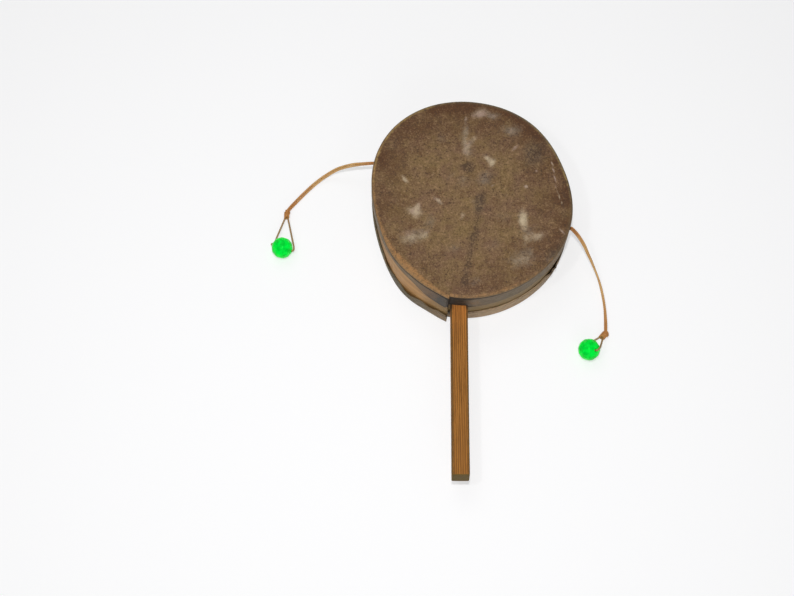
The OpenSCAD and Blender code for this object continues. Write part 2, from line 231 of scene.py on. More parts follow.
def an_angle(name, description, degrees):
    """An angle, its default given in degrees."""
    return FloatProperty(name=name, description=description, default=np.radians(degrees), subtype="ANGLE")


def a_power(name, description, watts):
    """The power of a lamp."""
    return FloatProperty(name=name, description=description, default=watts, unit="POWER")


def a_colour(name, rgb):
    """A colour, its default given in linear light."""
    return FloatVectorProperty(name=name, description=name + ", in linear light", default=rgb,
                               subtype="COLOR", min=0, max=1)


class DrumForm(PropertyGroup):
    """Sizes of the bent hoop and of the hide over it."""
    mean_radius: a_length("Mean radius", "Mean outside radius over the hide", 48)
    oval: a_length("Oval", "How far the long axis stands past the mean radius", 2.5)
    oval_dir: an_angle("Oval direction", "Direction of the long axis from +X", 102)
    lobe3: a_length("Three lobes", "Three-sided unevenness of the bend", 0.85)
    lobe3_dir: an_angle("Three lobes' direction", "Direction of the first of three lobes", 11)
    lobe4: a_length("Four lobes", "Four-sided unevenness of the bend", 0.6)
    lobe4_dir: an_angle("Four lobes' direction", "Direction of the first of four lobes", -30)
    lap_dir: an_angle("Lap", "Direction of the strip's outer end", 258.3)
    lap_length: a_length("Lap length", "Length over which the strip's ends lap", 24)
    straight_end: a_length("Straight end", "Length of strip that stays straight at its end", 10)
    strip: a_length("Strip", "Thickness of the bent strip", 1.6)
    rim: a_length("Rim", "Radius of the hide's bend over the hoop", 1.3)
    drawn_in: a_length("Drawn in", "How far the front rim is drawn in at the lower left", 1.7)
    drawn_dir: an_angle("Drawn direction", "Direction of the drawn rim", 236)
    drawn_half: an_angle("Drawn half", "Turn from there to the end of the drawn rim", 26)
    pushed_out: a_length("Pushed out", "How far the back rim is pushed out at the lap's end", 1.3)
    pushed_turn: an_angle("Pushed turn", "Turn over which the back rim is pushed out", 16)


class TwineForm(PropertyGroup):
    """Sizes of the twine."""
    strand: a_length("Strand", "Diameter of one strand", 1.0)
    loop: a_length("Loop", "Diameter of the strand through a bead", 0.9)
    pair: a_length("Doubled twine", "Width of two strands side by side", 2.0)
    ply_pitch: a_length("Ply pitch", "Length of one turn of the strand's plies", 3.2)
    wraps: IntProperty(name="Wraps", description="Wraps of twine in a knot", default=3)


class BeadForm(PropertyGroup):
    """Sizes of the beads."""
    diameter: a_length("Diameter", "Diameter of a bead", 10)
    bore: a_length("Bore", "Diameter of the hole", 1.8)
    facet: FloatProperty(name="Facet depth", description="Depth of the soft facets as a share of the radius",
                         default=0.035, subtype="FACTOR")


class FinishColours(PropertyGroup):
    """Colours of the finishes, in linear light."""
    hide_dark: a_colour("Dark grain of the hide", (0.062, 0.036, 0.022))
    hide_plum: a_colour("Plum brown of the hide", (0.160, 0.089, 0.049))
    hide_olive: a_colour("Olive brown of the hide", (0.196, 0.124, 0.049))
    hide_light: a_colour("Light grain of the hide", (0.310, 0.192, 0.096))
    hide_edge: a_colour("Hide towards its edge", (0.088, 0.037, 0.014))
    hide_pale: a_colour("Pale marks of the hide", (0.53, 0.43, 0.29))
    hide_blush: a_colour("Pinkish marks of the hide", (0.40, 0.285, 0.225))
    hide_gold: a_colour("Golden line inside the rim", (0.37, 0.250, 0.085))
    hide_worn: a_colour("Worn edge of the hide", (0.35, 0.178, 0.064))
    hide_cool: a_colour("Grey patches of the hide", (0.190, 0.158, 0.120))
    # Dirt on the torn tags, and painted shade in the crease, along the margins' edges and around the stick
    hide_dirt_and_shade: a_colour("Dirt and painted shade in creases and edges", (0.016, 0.011, 0.008))
    margin_slate: a_colour("Margin near the handle", (0.082, 0.074, 0.064))
    # The margins' own grey brown, partly a painted reflection of the pale floor
    margin_grey_and_reflection: a_colour("Grey brown of the margins", (0.215, 0.158, 0.096))
    margin_pink: a_colour("Pinkish brown of the margin", (0.41, 0.285, 0.172))
    # Olive grey of the back margin, and painted shade where the rim curves away
    margin_olive_and_rim_shade: a_colour("Olive grey of the rim", (0.150, 0.128, 0.078))
    wood_light: a_colour("Light grain of the hoop", (0.54, 0.288, 0.098))
    wood_dark: a_colour("Dark grain of the hoop", (0.35, 0.178, 0.058))
    # Painted shade on the hoop's sides that turn from the light
    wood_shaded: a_colour("Darkened wood of the hoop", (0.200, 0.138, 0.054))
    stick_light: a_colour("Light grain of the stick", (0.41, 0.170, 0.030))
    stick_dark: a_colour("Dark grain of the stick", (0.165, 0.066, 0.015))
    stick_fresh: a_colour("Cleaner wood by the drum", (0.62, 0.220, 0.042))
    stick_edge: a_colour("Handled edges of the stick", (0.105, 0.062, 0.018))
    stick_end: a_colour("Weathered end grain", (0.135, 0.088, 0.024))
    # Painted shadow where the stick goes into the drum
    stick_painted_shadow: a_colour("Painted shadow where the stick goes in", (0.035, 0.016, 0.008))
    twine_tan: a_colour("Light fibres of the twine", (0.68, 0.42, 0.155))
    twine_orange: a_colour("Waxed orange of the twine", (0.52, 0.212, 0.046))
    # Also painted shade in the grooves between the plies
    twine_dark: a_colour("Dark fibres of the twine", (0.27, 0.120, 0.035))
    twine_dull: a_colour("Dull olive of the loops", (0.28, 0.200, 0.090))
    bead: a_colour("Green of the beads", (0.001, 0.74, 0.050))
    bead_glint: a_colour("Tint of the beads' glint", (0.1, 0.5, 0.2))
    steel: a_colour("Steel of the brad", (0.30, 0.29, 0.28))
    steel_bright: a_colour("Scratches of the brad", (0.5, 0.49, 0.47))
    floor: a_colour("Pale floor", (0.925, 0.925, 0.94))


class StageForm(PropertyGroup):
    """Camera and lights."""
    camera_at: FloatVectorProperty(name="Camera", description="Place of the camera", subtype="TRANSLATION",
                                   default=(-33.7 * MM, -243.0 * MM, 525.4 * MM))
    camera_tilt: an_angle("Tilt", "Camera's tilt from straight down", 21.1)
    lens: FloatProperty(name="Lens", description="Focal length for a film 36 mm wide", unit="CAMERA",
                        default=FILM_WIDTH * PHOTO_LENS / PHOTO_WIDTH)
    key_power: a_power("Key light", "Power of the soft light", 1.0)
    flash_power: a_power("Near light", "Power of the small light over the camera", 1.65)
    side_power: a_power("Side light", "Power of the weak light to the left of the drum", 0.38)
    fill_power: a_power("Low light", "Power of the soft light low before the drum", 3.2)
    sky: FloatProperty(name="Sky", description="Strength of the even light all around", default=0.22)


def settings():
    """The scene's own values."""
    return bpy.context.scene.rattle


# Meshes

def spread(*parts):
    """Points or vectors from their parts, each part spread to the shape of all."""
    return np.stack(np.broadcast_arrays(*parts), -1)


def loft(name, rings, loop=False, caps=True, **attributes):
    """Makes a mesh from rings of points, shaped (rings, points, 3): quads join each ring to the next and each
    point to its neighbour around the ring. Caps run from the end rings to their middles. Equal points are
    welded and the faces are set to point outwards. Attributes hold a value or a vector for each point."""
    extra = {key: np.broadcast_to(value, rings.shape[:2] + np.shape(value)[2:])
             for key, value in attributes.items()}
    if caps and not loop:
        first, last = (np.broadcast_to(ring.mean(0), ring.shape)[None] for ring in (rings[0], rings[-1]))
        rings = np.concatenate([first, rings, last])
        extra = {key: np.concatenate([a[:1], a, a[-1:]]) for key, a in extra.items()}
    count, around = rings.shape[:2]
    i = np.arange(count if loop else count - 1)[:, None] * around
    j = np.arange(around)[None, :]
    following = (j + 1) % around
    ahead = (i + around) % (count * around)
    quads = np.stack([i + j, i + following, ahead + following, ahead + j], -1).reshape(-1, 4)
    points = rings.reshape(-1, 3)
    a, b, c, d = (points[quads[:, k]] for k in range(4))
    volume = np.einsum("ij,ij->", a, np.cross(b, c) + np.cross(c, d))
    if volume < 0:
        quads = quads[:, ::-1]
    mesh = bpy.data.meshes.new(name)
    mesh.from_pydata(points.tolist(), [], quads.tolist())
    for key, values in extra.items():
        kind, field = ("FLOAT_VECTOR", "vector") if values.ndim == 3 else ("FLOAT", "value")
        mesh.attributes.new(key, kind, "POINT").data.foreach_set(field, values.astype(np.float32).ravel())
    work = bmesh.new()
    work.from_mesh(mesh)
    bmesh.ops.remove_doubles(work, verts=work.verts, dist=1e-7)
    return placed(name, mesh, work)


def placed(name, mesh, work):
    """Writes what was worked on to a mesh, smooths its faces and puts it in the scene."""
    work.to_mesh(mesh)
    work.free()
    mesh.polygons.foreach_set("use_smooth", np.ones(len(mesh.polygons), bool))
    mesh.update()
    piece = bpy.data.objects.new(name, mesh)
    bpy.context.scene.collection.objects.link(piece)
    return piece


def joined(name, parts):
    """One mesh of several lofted parts, each given as its rings and its attributes."""
    work = bmesh.new()
    for rings, values in parts:
        part = loft(name, rings, **values)
        mesh = part.data
        work.from_mesh(mesh)
        bpy.data.objects.remove(part)
        bpy.data.meshes.remove(mesh)
    return placed(name, bpy.data.meshes.new(name), work)


def dress(piece, material, body=None, replaces=()):
    """Gives a piece its material and slot, sets it on its body and hides the solids that it stands for."""
    piece.data.materials.append(material)
    if body:
        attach(piece, body)
    if replaces:
        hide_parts(*replaces)
    return piece


# Numbers and lines

def unit(v):
    """Vectors of length one."""
    v = np.asarray(v, float)
    return v / np.linalg.norm(v, axis=-1, keepdims=True)


def smoothstep(start, end, value):
    """0 at the start, 1 at the end, and a smooth change between them."""
    t = np.clip((value - start) / (end - start), 0, 1)
    return t * t * (3 - 2 * t)


def bell(value, middle, width):
    """1 at the middle, falling to both sides as a Gaussian of that width."""
    return np.exp(-((value - middle) / width) ** 2)


def bump(degrees, middle, half):
    """1 at the middle direction, falling to 0 at half the width away, in degrees."""
    away = np.abs((degrees - middle + 180) % 360 - 180)
    return 1 - smoothstep(0, half, away)


def bumps(degrees, table):
    """Sum of the bumps of a table."""
    return sum(height * bump(degrees, middle, half) for height, middle, half in table)


def ripple(angle, waves, seed):
    """A smooth uneven line around the drum, about -1 to 1: a sum of cosines with seeded phases."""
    draw = np.random.default_rng(seed)
    phases = draw.uniform(0, 2 * np.pi, len(waves))
    weights = draw.uniform(0.5, 1, len(waves))
    total = sum(w * np.cos(n * angle + p) for n, p, w in zip(waves, phases, weights))
    return total / weights.sum()


def smooth_path(route, steps=10):
    """Points of a curve through the route: on each stretch, the cubic whose ends have the slope between their
    neighbours (Catmull-Rom)."""
    p = np.asarray(route, float)
    p = np.concatenate([[2 * p[0] - p[1]], p, [2 * p[-1] - p[-2]]])
    t = np.linspace(0, 1, steps, endpoint=False)[None, :, None]
    a, b, c, d = (p[k:len(p) - 3 + k][:, None, :] for k in range(4))
    curve = b + 0.5 * t * (c - a + t * (2 * a - 5 * b + 4 * c - d + t * (3 * (b - c) + d - a)))
    return np.concatenate([curve.reshape(-1, 3), p[-2:-1]])


def lengths_along(path):
    """Distance of each point of a path from its start."""
    return np.concatenate([[0], np.cumsum(np.linalg.norm(np.diff(path, axis=0), axis=1))])


def even_path(path, step, start=0.0, end=np.inf):
    """The path between two distances from its start, with its points an even step apart."""
    along = lengths_along(path)
    end = min(end, along[-1])
    places = np.linspace(start, end, max(2, int(round((end - start) / step)) + 1))
    return np.stack([np.interp(places, along, path[:, k]) for k in range(3)], 1)


def carried_frames(path):
    """Two directions square to the path at each point, carried along it without twist."""
    along = unit(np.gradient(path, axis=0))
    square = [unit(np.cross(along[0], (0.13, 0.21, 1)))]
    for direction in along[1:]:
        square.append(unit(square[-1] - np.dot(square[-1], direction) * direction))
    square = np.array(square)
    return square, np.cross(along, square)


# The drum's outline

def turn(angle):
    """Directions in degrees from 0 to 360."""
    return np.degrees(angle) % 360


def by_direction(table, degrees):
    """A value at each direction from a table of directions and values, its corners eased by a moving mean."""
    directions, values = np.array(table, float).T
    eased = np.linspace(-4, 4, 9)
    return sum(np.interp((degrees + step) % 360, directions, values) for step in eased) / len(eased)


def bend_radius(angle):
    """Outside radius over the hide: the mean radius, the slack, and waves of two, three and four lobes."""
    form = settings().drum
    return (form.mean_radius + MM * by_direction(HIDE_SLACK, turn(angle))
            + form.oval * np.cos(2 * (angle - form.oval_dir))
            + form.lobe3 * np.cos(3 * (angle - form.lobe3_dir))
            + form.lobe4 * np.cos(4 * (angle - form.lobe4_dir)))


def straight_line():
    """Where the strip's straight end leaves the bend, and the direction square to it."""
    form = settings().drum
    start = form.lap_dir - form.straight_end / bend_radius(form.lap_dir)
    small = 1e-5
    slope = (bend_radius(start + small) - bend_radius(start - small)) / (2 * small)
    return start, start - np.arctan(slope / bend_radius(start))


def outer_radius(angle):
    """Outside radius with the strip's end straight: past its start, the radius of a straight line."""
    start, square = straight_line()
    line = bend_radius(start) * np.cos(start - square) / np.cos(angle - square)
    return np.where(angle <= start, bend_radius(angle), line)


def wall_lean(angle, z):
    """How far the wall stands out at a height: to the lower left the front rim is drawn in, and at the lap's
    end the back rim is pushed out. Between the rims both change evenly."""
    form = settings().drum
    up = np.clip((z - form.rim) / (DEPTH - 2 * form.rim), 0, 1)
    drawn = form.drawn_in * bump(turn(angle), np.degrees(form.drawn_dir), np.degrees(form.drawn_half))
    pushed = form.pushed_out * smoothstep(form.lap_dir - form.pushed_turn, form.lap_dir, angle)
    return pushed * (1 - up) - drawn * up


def marks_at(x, y, marks):
    """Sum of soft ellipses, each a Gaussian of its length and width turned by its angle."""
    total = np.zeros_like(x)
    for mx, my, length, width, angle, strength in marks:
        c, s = np.cos(np.radians(angle)), np.sin(np.radians(angle))
        u = ((x - mx * MM) * c + (y - my * MM) * s) / (length * MM / 2)
        v = ((y - my * MM) * c - (x - mx * MM) * s) / (width * MM / 2)
        total += strength * np.exp(-(u * u + v * v) * 0.75)
    return total


# Shader nodes

class Shading:
    """Short ways to add nodes to a shader tree."""

    def __init__(self, tree):
        self.tree = tree

    def fill(self, node, inputs):
        """Links each input that is given as a socket, and sets any other."""
        for key, value in inputs.items():
            if isinstance(value, NodeSocket):
                self.tree.links.new(value, node.inputs[key])
            else:
                node.inputs[key].default_value = value
        return node

    def put(self, kind, inputs=(), **options):
        """Adds a node with its options and inputs."""
        node = self.tree.nodes.new(kind)
        for key, value in options.items():
            setattr(node, key, value)
        return self.fill(node, dict(inputs))

    def calc(self, operation, a, b):
        """An operation on two values."""
        return self.put("ShaderNodeMath", {0: a, 1: b}, operation=operation).outputs[0]

    def times(self, a, b):
        """The product of two values."""
        return self.calc("MULTIPLY", a, b)

    def less(self, a, b):
        """The first value less the second."""
        return self.calc("SUBTRACT", a, b)

    def weigh(self, share, a, b):
        """The mean of two values, the first with the share given."""
        return self.calc("ADD", self.times(a, share), self.times(b, 1 - share))

    def rise(self, value, low, high, start=0.0, end=1.0, kind="SMOOTHSTEP"):
        """A change from start, where the value is low, to end, where it is high."""
        inputs = {"Value": value, "From Min": low, "From Max": high, "To Min": start, "To Max": end}
        return self.put("ShaderNodeMapRange", inputs, interpolation_type=kind).outputs["Result"]

    def noise(self, vector, scale, detail, roughness):
        """Noise at a scale in turns for each metre."""
        inputs = {"Vector": vector, "Scale": scale, "Detail": detail, "Roughness": roughness}
        return self.put("ShaderNodeTexNoise", inputs).outputs["Fac"]


def new_group(name, inputs, outputs):
    """An empty shader group with named sockets: its nodes, what it is given, and where its values go."""
    tree = bpy.data.node_groups.new(name, "ShaderNodeTree")
    for socket in inputs:
        kind = "NodeSocketVector" if socket == "Vector" else "NodeSocketFloat"
        tree.interface.new_socket(socket, in_out="INPUT", socket_type=kind)
    for socket in outputs:
        tree.interface.new_socket(socket, in_out="OUTPUT", socket_type="NodeSocketFloat")
    nodes = Shading(tree)
    return nodes, nodes.put("NodeGroupInput").outputs, nodes.put("NodeGroupOutput")


def ragged_group(name):
    """A soft mask given a ragged edge: inside it, noise at two scales is added before a smooth rise."""
    nodes, given, out = new_group(name, ("Vector", "Mask", "Scale", "Raggedness"), ("Mask",))
    coarse = nodes.noise(given["Vector"], given["Scale"], 5.0, 0.65)
    fine = nodes.noise(given["Vector"], nodes.times(given["Scale"], 5.0), 3.0, 0.6)
    offset = nodes.times(nodes.less(nodes.weigh(0.6, coarse, fine), 0.5), given["Raggedness"])
    inside = nodes.calc("MINIMUM", nodes.times(given["Mask"], 3.0), 1.0)
    worked = nodes.calc("ADD", given["Mask"], nodes.times(offset, inside))
    nodes.fill(out, {"Mask": nodes.rise(worked, 0.12, 1.0)})
    return nodes.tree


def fibre_group(name):
    """Long fibres: noise on stretched coordinates at three scales, as light and dark lines."""
    nodes, given, out = new_group(name, ("Vector",), ("Grain", "Pores"))
    broad = nodes.noise(given["Vector"], 1.0, 3.0, 0.5)
    fine = nodes.noise(given["Vector"], 3.7, 4.0, 0.6)
    hair = nodes.noise(given["Vector"], 11.0, 2.0, 0.5)
    nodes.fill(out, {"Grain": nodes.rise(nodes.weigh(0.55, broad, fine), 0.32, 0.68),
                     "Pores": nodes.rise(nodes.weigh(0.5, hair, fine), 0.54, 0.64)})
    return nodes.tree


class Finish(Shading):
    """A new material with a Principled shader, which takes places in the rattle's own frame."""

    def __init__(self, name):
        self.material = bpy.data.materials.new(name)
        self.material.use_nodes = True
        super().__init__(self.material.node_tree)
        self.shader = self.tree.nodes["Principled BSDF"]
        self.at = self.put("ShaderNodeTexCoord").outputs["Object"]

    def feed(self, inputs):
        """Gives the shader its inputs, and gives back the material."""
        self.fill(self.shader, inputs)
        return self.material

    def bump(self, height, distance, strength):
        """Links a height to the shader's normal."""
        inputs = {"Height": height, "Distance": distance, "Strength": strength}
        self.feed({"Normal": self.put("ShaderNodeBump", inputs).outputs["Normal"]})

    def attribute(self, name, output="Fac"):
        """A value that the mesh holds at each point."""
        return self.put("ShaderNodeAttribute", attribute_name=name).outputs[output]

    def stretched(self, vector, scale, offset=(0.0, 0.0, 0.0)):
        """Coordinates scaled by axis, and moved."""
        inputs = {"Vector": vector, "Scale": scale, "Location": offset}
        return self.put("ShaderNodeMapping", inputs).outputs["Vector"]

    def clouds(self, scale, detail, roughness, stretch=(1.0, 1.0, 1.0), offset=(0.0, 0.0, 0.0)):
        """Noise through the rattle's own frame, scaled by axis and moved."""
        return self.noise(self.stretched(self.at, stretch, offset), scale, detail, roughness)

    def group(self, name, make, inputs):
        """Adds a shared shader group, made at its first use."""
        tree = bpy.data.node_groups.get(name) or make(name)
        return self.put("ShaderNodeGroup", inputs, node_tree=tree).outputs

    def ragged(self, mask, scale, raggedness, share=1.0):
        """A share of a mask with a ragged edge. The mask is a socket, or the name of an attribute."""
        mask = self.attribute(mask) if isinstance(mask, str) else mask
        inputs = {"Vector": self.at, "Mask": mask, "Scale": scale, "Raggedness": raggedness}
        return self.times(self.group("ragged edge", ragged_group, inputs)["Mask"], share)

    def fibres(self, vector, scale):
        """Grain and pores of long fibres, on coordinates scaled by axis."""
        made = self.group("long fibres", fibre_group, {"Vector": self.stretched(vector, scale)})
        return made["Grain"], made["Pores"]

    def layers(self, base, *layers):
        """A base colour with others over it, each given as a share and a colour."""
        for share, over in layers:
            ends = (end if isinstance(end, NodeSocket) else (*end, 1.0) for end in (base, over))
            base = self.put("ShaderNodeMix", zip((0, 6, 7), (share, *ends)), data_type="RGBA").outputs[2]
        return base


# Materials

def hide_material():
    """Dry hide: brown mottling at three scales, pale and dark marks, a worn tan edge, grey margins that are
    partly a painted reflection, and dirt with painted shade in creases and along edges.
    """
    tone = settings().colours
    nodes = Finish("dry hide")
    rise, times, ragged = nodes.rise, nodes.times, nodes.ragged
    cloudy = nodes.clouds(70.0, 4.0, 0.6)
    hue = nodes.clouds(80.0, 7.0, 0.75, offset=(0.4, 0.9, 0.2))
    blotchy = nodes.clouds(170.0, 3.0, 0.6, offset=(0.7, 0.1, 0.5))
    streaks = nodes.clouds(210.0, 4.0, 0.6, stretch=(1.0, 1.0, 7.0))
    patchy = nodes.clouds(380.0, 5.0, 0.7)
    fine = nodes.clouds(1250.0, 3.0, 0.8)
    grain = nodes.put("ShaderNodeTexVoronoi", {"Vector": nodes.at, "Scale": 1150.0}).outputs["Distance"]
    speckle = nodes.weigh(0.28, patchy, fine)
    edge = times(nodes.attribute("edge_shade"), rise(cloudy, 0.22, 0.60))
    high = times(rise(speckle, 0.51, 0.64), nodes.less(0.85, times(edge, 0.55)))
    shade, bloom = nodes.attribute("shade"), nodes.attribute("bloom")
    deep = times(rise(shade, -0.2, 1.0), rise(speckle, 0.44, 0.60, 0.9, 0.4))
    centred = times(rise(bloom, 0.0, 1.0, 0.4, 0.85), rise(speckle, 0.40, 0.58, 0.72, 1.0))
    rubbed = rise(speckle, 0.40, 0.58, 0.3, 1.0)
    pallor = nodes.layers(tone.hide_blush, (rise(cloudy, 0.42, 0.56), tone.hide_pale))
    face = nodes.layers(
        tone.hide_plum,
        (rise(hue, 0.34, 0.66), tone.hide_olive),
        (edge, tone.hide_edge),
        (rise(blotchy, 0.5, 0.72, 0.0, 0.45), tone.hide_edge),
        (ragged("cool", 240.0, 1.8, 0.7), tone.hide_cool),
        (rise(speckle, 0.36, 0.49, 0.95, 0.0), tone.hide_dark),
        (high, tone.hide_light),
        (ragged(shade, 330.0, 2.4, deep), tone.hide_dark),
        (ragged(bloom, 420.0, 1.8, centred), pallor),
        (ragged("wear", 420.0, 2.4, rubbed), tone.hide_worn),
        # Painted shade where the rim curves away
        (times(nodes.attribute("rim_olive"), 0.7), tone.margin_olive_and_rim_shade),
        (ragged("rim_gold", 190.0, 2.4, 0.8), tone.hide_gold))
    side = nodes.layers(
        # The margins' own grey brown, partly a painted reflection of the pale floor
        tone.margin_grey_and_reflection,
        (nodes.attribute("tone"), tone.margin_pink),
        (nodes.attribute("olive"), tone.margin_olive_and_rim_shade),
        (nodes.attribute("slate"), tone.margin_slate),
        (rise(streaks, 0.48, 0.68, 0.0, 0.4), tone.hide_dark),
        (rise(hue, 0.50, 0.66, 0.0, 0.3), tone.hide_worn))
    both = nodes.layers(
        face,
        (nodes.attribute("margin"), side),
        # Dirt on the torn tags, and painted shade in the crease, along the margins' edges and around the
        # stick
        (ragged("dirt", 700.0, 0.8, 0.9), tone.hide_dirt_and_shade))
    nodes.bump(nodes.weigh(0.4, grain, fine), 0.3 * MM, 0.9)
    return nodes.feed({"Base Color": both, "Roughness": rise(patchy, 0.3, 0.7, 0.80, 0.60, "LINEAR"),
                       "Specular IOR Level": 0.25})


def hoop_material():
    """Bare split wood: fibres along the strip, darker everywhere but at the lower left, as painted shade on
    the sides that turn from the light.
    """
    tone = settings().colours
    nodes = Finish("hoop wood")
    grain, pores = nodes.fibres(nodes.attribute("strip", "Vector"), (14.0, 420.0, 420.0))
    body = nodes.layers(
        tone.wood_dark,
        (grain, tone.wood_light),
        (nodes.times(pores, 0.45), tone.wood_dark),
        (nodes.ragged("old", 260.0, 0.9, 0.85), tone.wood_shaded))
    nodes.bump(nodes.less(grain, pores), 0.1 * MM, 0.7)
    return nodes.feed({"Base Color": body, "Roughness": 0.62})


def stick_material():
    """Oiled softwood: dark grain along the stick, cleaner beside the drum, grey and open at its end, with a
    painted shadow where it goes into the drum.
    """
    tone = settings().colours
    nodes = Finish("stick wood")
    grain, pores = nodes.fibres(nodes.at, (900.0, 14.0, 900.0))
    cloudy = nodes.clouds(240.0, 4.0, 0.6, stretch=(1.0, 0.3, 1.0))
    rings = {"Vector": nodes.stretched(nodes.at, (1.0, 0.05, 0.3)), "Scale": 330.0, "Distortion": 2.2,
             "Detail": 3.0, "Detail Scale": 2.0}
    years = nodes.put("ShaderNodeTexWave", rings, wave_type="BANDS", bands_direction="X").outputs["Fac"]
    body = nodes.layers(
        tone.stick_light,
        (nodes.attribute("fresh"), tone.stick_fresh),
        (nodes.times(grain, 0.7), tone.stick_dark),
        (nodes.rise(years, 0.6, 0.92, 0.0, 0.95), tone.stick_dark),
        (nodes.times(pores, 0.75), tone.stick_dark),
        (nodes.rise(cloudy, 0.38, 0.70, 0.0, 0.28), tone.stick_dark),
        (nodes.ragged("edge", 500.0, 0.7, 0.7), tone.stick_edge),
        (nodes.ragged("end", 900.0, 0.35), tone.stick_end),
        # Painted shadow where the stick goes into the drum
        (nodes.ragged("soot", 700.0, 0.7, 0.9), tone.stick_painted_shadow))
    nodes.bump(nodes.less(grain, pores), 0.12 * MM, 0.7)
    return nodes.feed({"Base Color": body, "Roughness": nodes.rise(grain, 0.0, 1.0, 0.66, 0.52, "LINEAR"),
                       "Specular IOR Level": 0.12})


def twine_material():
    """Waxed twine: fine fibres that wind with the plies, painted shade in the grooves between them, and slow
    changes of colour along it.
    """
    tone = settings().colours
    nodes = Finish("twine")
    grain, pores = nodes.fibres(nodes.attribute("ply", "Vector"), (2.2, 2.2, 130.0))
    slow = nodes.times(nodes.less(nodes.clouds(260.0, 3.0, 0.5), 0.5), 1.1)
    body = nodes.layers(
        tone.twine_tan,
        (nodes.rise(nodes.calc("ADD", nodes.attribute("waxed"), slow), 0.0, 1.0), tone.twine_orange),
        (nodes.attribute("dull"), tone.twine_dull),
        # Painted shade in the grooves between the plies
        (nodes.times(nodes.attribute("groove"), 0.75), tone.twine_dark),
        (nodes.times(pores, 0.4), tone.twine_dark))
    nodes.bump(grain, 0.06 * MM, 0.8)
    return nodes.feed({"Base Color": body, "Roughness": 0.55})


def bead_material():
    """Clear green plastic with faint clouds, which lets some light through and has a painted glow from
    emission.
    """
    tone = settings().colours
    nodes = Finish("green bead")
    cloudy = nodes.rise(nodes.clouds(420.0, 3.0, 0.5), 0.34, 0.66)
    shown = nodes.layers(tuple(0.66 * part for part in tone.bead), (cloudy, tone.bead))
    return nodes.feed({
        # Painted glow: the beads' colour is also given as emission
        "Base Color": shown, "Emission Color": shown, "Emission Strength": 0.3,
        "Roughness": nodes.rise(cloudy, 0.0, 1.0, 0.16, 0.26, "LINEAR"), "Transmission Weight": 0.3,
        "Specular IOR Level": 0.08, "Specular Tint": (*tone.bead_glint, 1.0), "IOR": 1.49})


def brad_material():
    """Plain wire, lightly scratched."""
    tone = settings().colours
    nodes = Finish("brad steel")
    scratches = nodes.clouds(3000.0, 3.0, 0.6, stretch=(1.0, 0.05, 1.0))
    body = nodes.layers(tone.steel, (scratches, tone.steel_bright))
    return nodes.feed({"Base Color": body, "Roughness": nodes.rise(scratches, 0.0, 1.0, 0.3, 0.5, "LINEAR"),
                       "Metallic": 1.0})


def floor_material():
    """Pale floor that keeps the shadow, lifted towards white for the camera and for reflections."""
    nodes = Finish("pale floor")
    nodes.feed({"Base Color": (*settings().colours.floor, 1.0), "Roughness": 0.9, "Specular IOR Level": 0.1})
    rays = nodes.put("ShaderNodeLightPath").outputs
    through = nodes.calc("MAXIMUM", rays["Is Glossy Ray"], rays["Is Transmission Ray"])
    seen = nodes.calc("MAXIMUM", rays["Is Camera Ray"], through)
    glow = nodes.put("ShaderNodeEmission", {"Color": WHITE, "Strength": 1.0}).outputs["Emission"]
    lifted = {0: nodes.times(seen, 0.56), 1: nodes.shader.outputs["BSDF"], 2: glow}
    mixed = nodes.put("ShaderNodeMixShader", lifted).outputs["Shader"]
    nodes.fill(nodes.tree.nodes["Material Output"], {"Surface": mixed})
    return nodes.material


# Shapes

def hide_shell(name, front, edge_height, lift):
    """A hide head with its margin turned over the hoop, as one closed shell. Around the drum its radius is
    the outline. From the middle it runs out flat with a slight dish, over a rim of quarter circle, along the
    wall to the margin's edge, round the edge by a half circle of the hide's thickness, and back inside. The
    edge's height and how far it lifts off the wall change with the direction, by the two functions given."""
    form = settings().drum
    angle = np.linspace(form.lap_dir - 2 * np.pi, form.lap_dir, HIDE_POINTS)
    radius, degrees, rim = outer_radius(angle), turn(angle), form.rim
    edge, lifted = edge_height(degrees), lift(degrees)
    face_z, down, dished, uneven = (DEPTH, -1, 0.35 * MM, 0.16 * MM) if front else (0.0, 1, 0.15 * MM, 0.0)
    under_dish, belly = 0.35 * MM, 0.12 * MM
    top = radius + wall_lean(angle, face_z)
    share = np.linspace(0, 1, FACE_RINGS)[:, None]
    waves = uneven * share * (1 - share) * 4 * ripple(angle, (2, 3, 5), 4)
    bend = np.linspace(0, np.pi / 2, RIM_RINGS)[1:, None]
    way = np.linspace(0, 1, WALL_RINGS)[1:, None]
    wall_from = face_z + down * rim
    wall_z = wall_from + way * (edge - wall_from)
    bellied = belly * ripple(angle, (7, 11, 17), 9) * np.sin(np.pi * way)
    turned = np.linspace(0, np.pi, EDGE_RINGS)[1:, None]
    inside = np.linspace(1, 0, INSIDE_RINGS)[1:, None]
    inner_from = face_z + down * SKIN
    inner_z = inner_from + inside * (edge - inner_from)
    under = np.linspace(1, 0, UNDER_RINGS)[1:, None]
    stretches = (
        (share * (top - rim), face_z + down * (dished * (1 - share ** 2) + waves)),
        (top - rim + rim * np.sin(bend), face_z + down * rim * (1 - np.cos(bend))),
        (radius + wall_lean(angle, wall_z) + bellied + lifted * way ** 4, wall_z),
        (radius + wall_lean(angle, edge) + lifted - SKIN / 2 * (1 - np.cos(turned)),
         edge + down * SKIN / 2 * np.sin(turned)),
        (radius - SKIN + wall_lean(angle, inner_z) + lifted * inside ** 4, inner_z),
        (under * (top - SKIN), inner_from + down * under_dish * (1 - under ** 2)),
    )
    r, z = np.moveaxis(np.concatenate([spread(*stretch) for stretch in stretches]), -1, 0)
    below = np.abs(face_z - z)
    on_wall = smoothstep(0.4 * MM, 1.0 * MM, below) * (r > radius + wall_lean(angle, z) - 2 * SKIN)
    rings = spread(r * np.cos(angle), r * np.sin(angle), z)
    around = np.broadcast_to(degrees, r.shape)
    values = head_values(rings, top - r, below, on_wall, around, np.abs(edge - face_z), front)
    return loft(name, rings, caps=False, **values)


